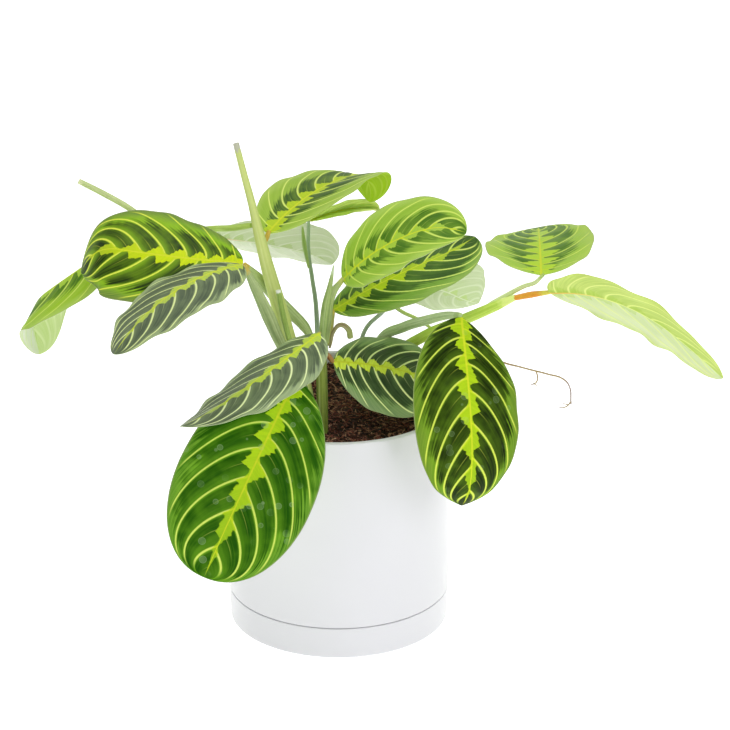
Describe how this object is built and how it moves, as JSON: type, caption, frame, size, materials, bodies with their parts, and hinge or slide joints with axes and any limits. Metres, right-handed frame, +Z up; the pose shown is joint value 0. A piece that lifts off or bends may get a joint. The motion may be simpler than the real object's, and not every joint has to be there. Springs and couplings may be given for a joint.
{
  "type": "potted prayer plant",
  "caption": "Leafy prayer plant (maranta) with patterned oval leaves on arching canes, planted in a white cylinder pot that stands in a flush saucer.",
  "frame": {"origin": "centre of the saucer's flat underside, on the pot's own axis", "axes": "+Z up along the pot's axis, +X to the plant's right along its widest spread, -Y towards the front, where the two largest leaves hang over the rim"},
  "size_m": [0.4292, 0.2754, 0.3159],
  "materials": {
    "white_glaze": "satin",
    "peat": "matte",
    "dark_leaf": "satin",
    "lime_leaf": "satin",
    "pale_leaf": "satin",
    "green_stem": "satin",
    "dark_stem": "satin",
    "dry_stem": "matte"
  },
  "bodies": {
    "root": {"saucer": "white_glaze", "pot": "white_glaze", "soil": "peat", "stem_main": "green_stem", "cane_tall": "green_stem", "stalk_top": "green_stem", "stub_cut": "green_stem", "stalk_lower_left": "dark_stem", "stalk_upper_left": "green_stem", "stalk_top_young": "dark_stem", "sheath_top_young": "dark_stem", "leaf_spear": "green_stem", "stalk_centre_upper": "green_stem", "stalk_centre_lower": "dry_stem", "dry_curl": "dry_stem", "stalk_front_left": "green_stem", "stalk_over_soil": "dry_stem", "stalk_lower_front": "dark_stem", "cane_front_right": "dark_stem", "stalk_behind_centre": "dark_stem", "cane_right": "green_stem", "stalk_thin_pale": "green_stem", "stalk_right_upper": "green_stem", "stalk_far_right": "dry_stem", "cane_left": "green_stem", "stalk_behind_left": "green_stem", "stalk_cut_left": "green_stem", "dry_runner": "dry_stem", "leaf_upper_left": "dark_leaf", "leaf_lower_left": "dark_leaf", "leaf_far_left": "lime_leaf", "leaf_top": "dark_leaf", "leaf_top_young": "dark_leaf", "leaf_behind_left": "pale_leaf", "leaf_centre_upper": "lime_leaf", "leaf_centre_lower": "dark_leaf", "leaf_behind_centre": "pale_leaf", "leaf_right_upper": "lime_leaf", "leaf_far_right": "pale_leaf", "leaf_front_right": "dark_leaf", "leaf_over_soil": "dark_leaf", "leaf_front_left": "dark_leaf", "leaf_lower_front": "dark_leaf"}
  },
  "joints": []
}
